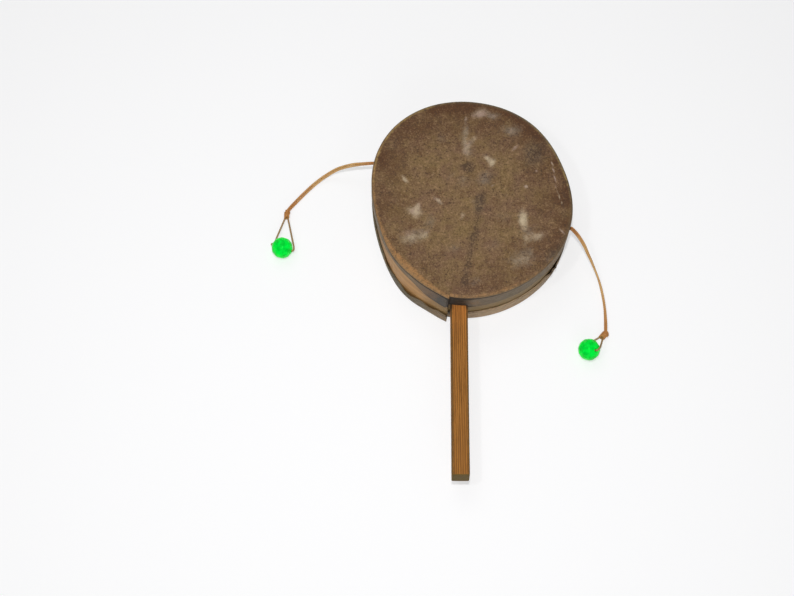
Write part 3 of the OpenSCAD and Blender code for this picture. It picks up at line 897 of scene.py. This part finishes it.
def head_values(rings, from_rim, below, on_wall, around, depth, front):
    """Masks of a head at each point: marks, worn and shaded edge, painted shade where the rim curves away,
    and the margin with its tones, dirt and painted shade.
    The back head has every second mark, mirrored."""
    x, y = rings[..., 0], rings[..., 1]
    on_face = 1 - on_wall
    worn = 1 - smoothstep(0.5, 1.5, from_rim / (MM * (0.9 + bumps(around, WORN_WIDTH))))
    # Painted shadow along the margin's edge, where it stands off the wood
    edge_shadow_line = on_wall * bell(depth - below, 0, 0.7 * MM)
    if front:
        mark_x, every = x, 1
        tone, olive, slate = 0.1 * on_wall, 0.0, on_wall * np.clip(bumps(around, FRONT_SLATE), 0, 1)
        # Painted shade in the crease just under the front rim
        crease_shade = on_wall * bell(below, 1.4 * MM, 0.6 * MM) * bumps(around, FRONT_CREASE_SHADE)
        # Painted shade on the front margin over the stick's hole
        start, full, middle, half = STICK_SHADE
        before = smoothstep(start, full, around) * (around < middle)
        shade_over_stick = on_wall * np.maximum(bump(around, middle, half), before)
        dirt = crease_shade + 0.9 * shade_over_stick + 0.4 * edge_shadow_line
    else:
        mark_x, every = -x, 2
        tone, slate = on_wall * bumps(around, BACK_PINK), on_wall * bumps(around, BACK_SLATE)
        olive = on_wall * np.clip(bumps(around, BACK_OLIVE), 0, 1)
        torn = on_wall * sum(bell(around, middle, width) for middle, _, _, width in TORN_TAGS)
        # Painted shade around the stick's hole in the back margin
        shadow_collar = on_wall * np.exp(-((x - STICK_MID[0]) / (STICK_HALF + 1.0 * MM)) ** 8) * (y < 0)
        dirt = (0.45 * edge_shadow_line + 0.35 * torn * smoothstep(4 * MM, 7.5 * MM, below)
                + 0.8 * shadow_collar * smoothstep(4 * MM, 7 * MM, below))
    return {
        **{key: on_face * marks_at(mark_x, y, table[::every]) for key, table in MARKS.items()},
        "wear": on_face * worn * (0.35 + bumps(around, WORN_SHARE)),
        "edge_shade": on_face * smoothstep(26 * MM, 2 * MM, from_rim) * (1 - bumps(around, EDGE_LIGHT)),
        # Painted shade where the rim curves away, olive grey, strongest on the far side
        "rim_olive": on_face * smoothstep(1.7 * MM, 0.6 * MM, from_rim) * (0.25 + bumps(around, RIM_SHADE)),
        "rim_gold": (on_face * bell(from_rim, 1.0 * MM, 0.5 * MM)
                     * np.clip(0.15 + bumps(around, RIM_GOLD), 0, 1)),
        "margin": on_wall, "tone": tone, "olive": olive, "slate": slate, "dirt": np.clip(dirt, 0, 1),
    }


def front_edge(degrees):
    """Height of the front margin's edge: the table's depth below the face, with soft waves and a notch for
    the stick."""
    waves = 0.3 * MM * ripple(np.radians(degrees), (3, 8, 13, 21), 2)
    edge = DEPTH - MM * by_direction(FRONT_MARGIN, degrees) + waves
    x = settings().drum.mean_radius * np.cos(np.radians(degrees))
    at_stick = (np.abs(x - STICK_MID[0]) < STICK_HALF + 0.6 * MM) & (degrees > 180)
    return np.where(at_stick, np.maximum(edge, STICK_HIGH[2] + 0.3 * MM), edge)


def back_edge(degrees):
    """Height of the back margin's edge: the table's depth, with soft waves."""
    return MM * by_direction(BACK_MARGIN, degrees) + 0.4 * MM * ripple(np.radians(degrees), (3, 7, 12, 19), 5)


def front_lift(degrees):
    """How far the front margin's edge stands off the wood."""
    return 0.12 * MM + 0.1 * MM * ripple(np.radians(degrees), (5, 9, 16), 7)


def back_lift(degrees):
    """How far the back margin's edge stands off the wood: it gapes in four places and has two torn tags."""
    tags = sum(height * bell(degrees, middle, width) for middle, height, width, _ in TORN_TAGS)
    waves = 0.12 * (1 + ripple(np.radians(degrees), (5, 9, 16), 8))
    return MM * (bumps(degrees, BACK_GAPES) + tags + waves)


def strip_rings():
    """The bent strip from its inner end, under the lap, once around to its outer end. Its section is a
    rectangle with rounded edges. Its outside follows the outline under the hide, and slips inwards by its own
    thickness towards the inner end."""
    form = settings().drum
    lap_turn = form.lap_length / bend_radius(form.lap_dir)
    angle = np.linspace(form.lap_dir - lap_turn - 2 * np.pi, form.lap_dir, STRIP_RINGS)[:, None]
    under = np.clip((form.lap_dir - 2 * np.pi - angle) / lap_turn, 0, 1)
    outside = outer_radius(angle) - SKIN - form.strip * under
    soft, outer_rows, inner_rows = 0.25 * MM, 14, 6
    low, high, thick = SKIN + soft, DEPTH - SKIN - soft, form.strip
    corner = np.linspace(0, np.pi / 2, 4)
    rising, falling = soft * np.sin(corner), soft * np.cos(corner)
    inwards = np.concatenate([np.zeros(outer_rows), soft - falling, thick - soft + rising,
                              np.full(inner_rows, thick), thick - soft + falling, soft - rising])
    heights = np.concatenate([np.linspace(low, high, outer_rows), high + rising, high + falling,
                              np.linspace(high, low, inner_rows), low - rising, low - falling])
    r = outside - inwards + wall_lean(angle, heights)
    along = lengths_along(np.concatenate([outside * np.cos(angle), outside * np.sin(angle)], 1))
    return spread(r * np.cos(angle), r * np.sin(angle), heights), {
        # Painted shade on the hoop everywhere but the lower left
        "strip": spread(along[:, None], heights, inwards), "old": 1 - bumps(turn(angle), UNSHADED_WOOD)}


def stick_rings():
    """The square stick: a square with rounded edges, carried along Y and leaning a little, with a sloping
    sawn end whose lip is a quarter circle."""
    longer, slimmer, soft, lip, leaning, rows = 1.5 * MM, 0.965, 0.6 * MM, 0.5 * MM, 0.67 * MM, 160
    stick_dir, saw_angle, saw_reach = np.radians(-97.0), np.radians(9), 6 * MM
    near, far, half = STICK_LOW[1] - longer, STICK_HIGH[1], STICK_HALF * slimmer
    wall = -outer_radius(stick_dir)
    corner = np.linspace(0, np.pi / 2, 6)
    side = np.array([-1, -0.86, -0.4, 0.4, 0.86, 1]) * (half - soft)
    rounded = half - soft + soft * spread(np.cos(corner), np.sin(corner))
    quarter = np.concatenate([spread(half, side), rounded])
    section = np.concatenate([quarter @ np.array([[c, s], [-s, c]])
                              for c, s in ((1, 0), (0, 1), (-1, 0), (0, -1))])
    bend = np.linspace(np.pi / 2, 0, 6)
    y = near + np.concatenate([np.zeros(3), lip * (1 - np.sin(bend)),
                               np.linspace(1.0 * MM, far - near, rows)])
    inset = np.concatenate([lip + (half - lip) * np.array([0.7, 0.4, 0.15]), lip * (1 - np.cos(bend)),
                            np.zeros(rows)])
    size = (1 - inset / half) * (1 + 0.006 * ripple((y - near) * 60, (1, 2, 5), 3))
    y, size = y[:, None], size[:, None]
    x = STICK_MID[0] + leaning * np.clip((y - near) / (wall - near), 0, 1.2) + section[:, 0] * size
    z = MID_Z + section[:, 1] * size
    slope = np.tan(saw_angle) * np.exp(-(y - near) / saw_reach)
    return spread(x, y + slope * (z - MID_Z + half), z), {
        "end": 1 - smoothstep(near + 0.1 * MM, near + 0.6 * MM, y),
        "fresh": np.exp(-np.abs(y - wall) / (8 * MM)),
        # Painted shadow where the stick goes into the drum, darkest at its sides
        "soot": bell(y, wall, 2.0 * MM) * (0.12 + 0.88 * np.abs(section[:, 0] / half) ** 3),
        "edge": np.tile([0.5, 0, 0, 0, 0, 0.5, 1, 1, 1, 1, 1, 1], (1, 4)),
    }


def strand(path, radius, waxed, dull=0.0):
    """One strand along a path: a circle with soft lobes that wind along it as plies do. Its attributes are
    the place along the plies, painted shade in the grooves between them, and how waxed and how dull it is."""
    square, other = carried_frames(path)
    along = lengths_along(path)[:, None]
    around = np.linspace(0, 2 * np.pi, STRAND_POINTS, endpoint=False)
    wound = around - 2 * np.pi * along / settings().twine.ply_pitch
    lobes = np.cos(PLIES * wound)
    r = radius * (1 - PLY_DEPTH + PLY_DEPTH * lobes)
    rings = (path[:, None] + (r * np.cos(around))[..., None] * square[:, None]
             + (r * np.sin(around))[..., None] * other[:, None])
    return rings, {
        "ply": spread(np.cos(wound), np.sin(wound), along), "groove": (0.5 - 0.5 * lobes) ** 2,
        "waxed": np.reshape(waxed, (-1, 1)), "dull": dull,
    }


def rounded_ends(path, radius):
    """Sizes along a path that close its two ends by quarter circles of the radius."""
    along = lengths_along(path)
    from_end = np.minimum(along, along[-1] - along)
    return np.sqrt(np.clip(1 - (1 - np.clip(from_end / radius, 0, 1)) ** 2, 0.02, 1))


def doubled_twine(name, path, share, turns):
    """Two strands beside each other along the path. Their turn from side by side follows the table of turns
    by each point's share of the whole cord, and where they turn fast they lie closer."""
    form = settings().twine
    shares, degrees = np.array(turns, float).T
    phase = np.radians(np.interp(share, shares, degrees))
    along = unit(np.gradient(path, axis=0))
    side = unit(np.cross(along, (0, 0, 1)))
    offset = np.cos(phase)[:, None] * side + np.sin(phase)[:, None] * np.cross(side, along)
    spun = np.clip(np.abs(np.gradient(phase, lengths_along(path))) * MM / 1.2, 0, 1)
    reach = ((form.pair - form.strand) / 2 * (1 - 0.45 * spun))[:, None]
    waxed = 0.25 + 0.75 * np.clip(np.maximum(1 - share / 0.2, (share - 0.62) / 0.38), 0, 1)
    parts = []
    for way in (-1, 1):
        line = path + way * reach * offset
        rings, values = strand(line, form.strand / 2, waxed)
        closing = rounded_ends(line, form.strand / 2)[:, None, None]
        parts.append((line[:, None] + (rings - line[:, None]) * closing, values))
    return joined(name, parts)


def loop_path(middle, axis, ends):
    """A loop through a bead: from the knot straight to where it touches the ball around the bead, over that
    ball to the bore's mouth by the shortest way, through the bore, and back to the knot in the same way. A
    half with a given direction meets the ball there instead."""
    clear, from_mouth = 0.1 * MM, np.radians(9)
    reach = settings().bead.diameter / 2 + settings().twine.loop / 2 + clear
    halves = []
    for end, way, meets in ends:
        mouth = way * unit(axis)
        away = end - middle
        toward = unit(away if meets is None else meets)
        whole = np.arccos(np.dot(toward, mouth))
        touch = np.arccos(reach / np.linalg.norm(away)) if meets is None else 0.0
        last = whole - from_mouth
        angles = np.linspace(min(touch, last - 0.05), last, 5)[:, None]
        arc = reach * (np.sin(whole - angles) * toward + np.sin(angles) * mouth) / np.sin(whole)
        straight = away + (arc[0] - away) * np.array([0, 0.3, 0.6, 0.85])[:, None]
        inward = mouth * (reach * np.array([0.96, 0.88, 0.7, 0.35]))[:, None]
        halves.append(middle + np.concatenate([straight, arc, inward]))
    return smooth_path(np.concatenate([halves[0], [middle], halves[1][::-1]]), 12)


def knot_path(at, axis, length, thick):
    """A knot's line: wraps around the cord from end to end, then a turn back over them, with tucked ends."""
    t = np.linspace(0, 1, 220)
    wound = 0.72
    out = np.clip(t / wound, 0, 1)
    back = smoothstep(wound, 1, t)
    angle = 2 * np.pi * (settings().twine.wraps * out + 0.62 * back) + 0.4
    height = length * (out - 0.5) * 0.8 - back * length * 0.86
    tuck = smoothstep(0, 0.06, t) * (1 - smoothstep(0.95, 1, t))
    r = (0.42 + 0.5 * tuck + 0.5 * np.sin(np.pi * back) ** 2) * MM * thick
    side = unit(np.cross(axis, (0, 0, 1)))
    basis = np.stack([axis, side, np.cross(side, axis)])
    return at + spread(height, r * np.cos(angle), r * np.sin(angle)) @ basis


def knot(name, at, axis, length, thick=1.0):
    """A knot in the doubled twine, as two strands along the knot's line side by side."""
    path = even_path(knot_path(at, axis, length, thick), KNOT_STEP)
    return joined(name, [strand(path + way * KNOT_APART * axis, KNOT_STRAND, 1.0) for way in (-1, 1)])


def on_ball(tilt, around):
    """Directions by their tilt from +Z and their turn around it."""
    return spread(np.sin(tilt) * np.cos(around), np.sin(tilt) * np.sin(around), np.cos(tilt))


def facet_normals():
    """Directions of a bead's soft facets: rings of them from pole to pole around the bore."""
    return np.concatenate([on_ball(np.radians(tilt), 2 * np.pi * (np.arange(count) + shift) / count)
                           for tilt, count, shift in FACET_RINGS])


def bead_rings(middle, axis):
    """A bead around its bore: a sphere cut by the planes of its facets, where the radius is the facet's
    distance over the cosine to the nearest facet's normal, with a rounded mouth and a bore through it."""
    form = settings().bead
    radius, bore = form.diameter / 2, form.bore / 2
    wider, sunk, sharp = 1.25, 0.97, 90.0
    start = np.arcsin(bore * wider / radius)
    tilt = np.linspace(start, np.pi - start, BEAD_RINGS)[:, None]
    around = np.linspace(0, 2 * np.pi, BEAD_POINTS, endpoint=False)
    directions = on_ball(tilt, around)
    nearest = np.log(np.exp(sharp * (directions @ facet_normals().T)).sum(-1)) / sharp
    outer = directions * np.minimum(radius, radius * (1 - form.facet) / nearest)[..., None]
    mouth = radius * np.cos(start) * sunk
    wall = spread(bore * np.cos(around), bore * np.sin(around),
                  np.linspace(-mouth, mouth, BORE_RINGS)[:, None])
    z = unit(axis)
    x = unit(np.cross(z, (0.2, 0.1, 1) if abs(z[2]) < 0.9 else (1, 0, 0)))
    return np.concatenate([outer, wall]) @ np.stack([x, np.cross(z, x), z]) + middle


# Pieces of the cords

def outwards(side):
    """Direction in which a side's cord leaves the drum: from the other side's hinge to its own."""
    other = SIDES[side == SIDES[0]]
    return unit(PIVOTS[side + "_swing"] - PIVOTS[other + "_swing"])


def make_side(side, waxed, plastic):
    """One side's cord, with what is on it. Its line is straight to the hinge, and then its route."""
    form = settings().twine
    hinge = PIVOTS[side + "_swing"]
    straight = hinge - ROOT_INSIDE * np.array([[1.0], [0.5]]) * outwards(side)
    whole = smooth_path(np.concatenate([straight, MM * np.array(CORD_ROUTES[side]) + BENDS[side]]))
    outside = lengths_along(whole)[-1] - ROOT_INSIDE
    root_path = even_path(whole, STRAND_STEP, 0, ROOT_INSIDE + ROOT_BEND + form.strand / 2)
    root_share = np.clip((lengths_along(root_path) - ROOT_INSIDE) / outside, 0, 1)
    path = even_path(whole, STRAND_STEP, ROOT_INSIDE + ROOT_BEND)
    share = (lengths_along(path) + ROOT_BEND) / outside
    make_root(side, root_path, root_share, path[0], waxed)
    twine = make_twine(side, path, share, waxed)
    tied = make_knot(side, waxed)
    loop = make_loop(side, waxed)
    bead = make_bead(side, plastic)
    float(lengths_along(path)[-1])


def make_root(side, path, share, leaves, waxed):
    """The twine through a hole."""
    hinge = PIVOTS[side + "_swing"]
    root = doubled_twine(side + "_twine_root", path, share, PAIR_TURNS[side])
    dress(root, waxed)
    tuple(hinge - ROOT_BEND * outwards(side))
    tuple(hinge + ROOT_BEND * unit(leaves - hinge))
    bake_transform(root)


def make_twine(side, path, share, waxed):
    """The twine outside a hole."""
    knee = PIVOTS[side + "_fold"]
    twine = doubled_twine(side + "_twine", path, share, PAIR_TURNS[side])
    dress(twine, waxed, replaces=(side + "_cord_near", side + "_cord_far"))
    at_knee = np.argmin(np.linalg.norm(path - knee, axis=1))
    reach = FOLD_BEND * unit(np.gradient(path, axis=0)[at_knee])
    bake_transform(twine)
    return twine


def make_knot(side, waxed):
    """The knot above a bead."""
    offset, pointing, thick = KNOT_PLACES[side]
    level = sum(corner[2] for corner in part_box(side + "_knot")) / 2
    middle = BENDS[side] + (*(MM * np.array(offset)), level)
    tied = knot(side + "_tied_knot", middle, unit(pointing), KNOT_LENGTH, thick)
    return dress(tied, waxed, side + "_far", (side + "_knot",))


def make_loop(side, waxed):
    """The strand from a knot through its bead and back."""
    spin = side + "_bead_spin"
    ends = [(MM * np.array(end) + BENDS[side], way, meets) for end, way, meets in LOOP_ENDS[side]]
    path = even_path(loop_path(PIVOTS[spin], AXES[spin], ends), LOOP_STEP)
    rings, values = strand(path, settings().twine.loop / 2, 0.4, 0.8)
    loop = loft(side + "_bead_loop", rings, **values)
    return dress(loop, waxed, side + "_far", (side + "_loop",))


def make_bead(side, plastic):
    """A bead on its strand."""
    spin = side + "_bead_spin"
    bead = loft(side + "_green_bead", bead_rings(PIVOTS[spin], AXES[spin]), loop=True)
    return dress(bead, plastic, side + "_striker", (side + "_bead",))


def make_inside(waxed):
    """The twine across the drum and its two stop knots."""
    left, right = (PIVOTS[side + "_swing"] for side in SIDES)
    across = outwards("right")
    path = even_path(np.stack([left + ROOT_INSIDE * across, right - ROOT_INSIDE * across]), STRAND_STEP)
    inside = doubled_twine("inside_twine", path, np.linspace(0, 1, len(path)), PAIR_TURNS["inside"])
    dress(inside, waxed, "drum", ("inner_cord",))
    for side in SIDES:
        low, high = (np.array(corner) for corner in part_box(side + "_stop_knot"))
        stop = knot(side + "_inside_knot", (low + high) / 2, across, STOP_LENGTH)
        dress(stop, waxed, "drum", (side + "_stop_knot",))


# Operators

class RATTLE_OT_stage(Operator):
    """Sets up the camera, the lights and the pale floor"""
    bl_idname = "rattle.stage"
    bl_label = "Stage"

    def execute(self, context):
        form = settings().stage
        scene = context.scene
        scene.view_settings.view_transform = "Standard"
        lens = bpy.data.cameras.new("photo view")
        lens.sensor_width = FILM_WIDTH
        lens.sensor_fit = "HORIZONTAL"
        lens.lens = form.lens
        lens.clip_start = NEAREST_SEEN
        scene.camera = self.put("photo view", lens, form.camera_at, (form.camera_tilt, 0, 0))
        for name, at, size, power in LAMPS:
            lamp = bpy.data.lights.new(name, "AREA")
            lamp.size = size
            lamp.energy = getattr(form, power)
            back = unit(at)
            self.put(name, lamp, at, (np.arccos(back[2]), 0, np.arctan2(-back[1], -back[0]) - np.pi / 2))
        self.floor()
        world = bpy.data.worlds.new("even sky")
        world.use_nodes = True
        sky = world.node_tree.nodes["Background"].inputs
        sky["Color"].default_value = WHITE
        sky["Strength"].default_value = form.sky
        scene.world = world
        return {"FINISHED"}

    def put(self, name, data, at=(0, 0, 0), turned=(0, 0, 0)):
        """Puts an object in the scene at a place, turned."""
        made = bpy.data.objects.new(name, data)
        made.location = at
        made.rotation_euler = turned
        bpy.context.scene.collection.objects.link(made)
        return made

    def floor(self):
        """A flat square just under the rattle."""
        mesh = bpy.data.meshes.new("floor")
        corners = [(x * FLOOR_HALF, y * FLOOR_HALF, FLOOR_LEVEL) for x, y in SQUARE]
        mesh.from_pydata(corners, [], [range(len(corners))])
        mesh.materials.append(floor_material())
        return self.put("floor", mesh)


class RATTLE_OT_cords(Operator):
    """Makes the doubled twine, the knot, the loop and the bead on either side, and the twine inside"""
    bl_idname = "rattle.cords"
    bl_label = "Cords and beads"

    def execute(self, context):
        waxed, plastic = twine_material(), bead_material()
        for side in SIDES:
            make_side(side, waxed, plastic)
        make_inside(waxed)
        return {"FINISHED"}


class RATTLE_OT_heads(Operator):
    """Makes the two hide heads with their turned-over margins"""
    bl_idname = "rattle.heads"
    bl_label = "Hide heads"

    def execute(self, context):
        hide = hide_material()
        front = hide_shell("front_hide", True, front_edge, front_lift)
        dress(front, hide, "drum", ("front_head",))
        back = hide_shell("back_hide", False, back_edge, back_lift)
        dress(back, hide, "drum", ("back_head",))
        return {"FINISHED"}


class RATTLE_OT_hoop(Operator):
    """Makes the bent wooden strip"""
    bl_idname = "rattle.hoop"
    bl_label = "Hoop"

    def execute(self, context):
        rings, values = strip_rings()
        dress(loft("bent_strip", rings, **values), hoop_material(), "drum", ("hoop",))
        return {"FINISHED"}


class RATTLE_OT_handle(Operator):
    """Makes the stick and gives the brad its finish"""
    bl_idname = "rattle.handle"
    bl_label = "Handle"

    def execute(self, context):
        rings, values = stick_rings()
        dress(loft("square_stick", rings, **values), stick_material(), "drum", ("handle",))
        brad = frame["nodes"]["handle_brad"]
        brad.data.materials.clear()
        brad.data.materials.append(brad_material())
        return {"FINISHED"}


class RATTLE_PT_panel(Panel):
    """Lists the rattle's pieces in the sidebar"""
    bl_idname = "RATTLE_PT_panel"
    bl_label = "Pellet drum rattle"
    bl_space_type = "VIEW_3D"
    bl_region_type = "UI"
    bl_category = "Rattle"

    def draw(self, context):
        for operator in OPERATORS:
            self.layout.operator(operator.bl_idname)


class RattleSettings(PropertyGroup):
    """All the values of the rattle."""
    drum: PointerProperty(type=DrumForm)
    twine: PointerProperty(type=TwineForm)
    bead: PointerProperty(type=BeadForm)
    colours: PointerProperty(type=FinishColours)
    stage: PointerProperty(type=StageForm)


GROUPS = (DrumForm, TwineForm, BeadForm, FinishColours, StageForm, RattleSettings)
OPERATORS = (RATTLE_OT_stage, RATTLE_OT_cords, RATTLE_OT_heads, RATTLE_OT_hoop, RATTLE_OT_handle)
CLASSES = (*GROUPS, *OPERATORS, RATTLE_PT_panel)


def register():
    """Registers the classes and the scene's values."""
    for kind in CLASSES:
        bpy.utils.register_class(kind)
    bpy.types.Scene.rattle = PointerProperty(type=RattleSettings)


def unregister():
    """Removes the scene's values and the classes."""
    del bpy.types.Scene.rattle
    for kind in reversed(CLASSES):
        bpy.utils.unregister_class(kind)


def main():
    """Makes the rattle."""
    register()
    bpy.ops.rattle.stage()
    bpy.ops.rattle.cords()
    bpy.ops.rattle.heads()
    bpy.ops.rattle.hoop()
    bpy.ops.rattle.handle()


if __name__ == "__main__":
    main()
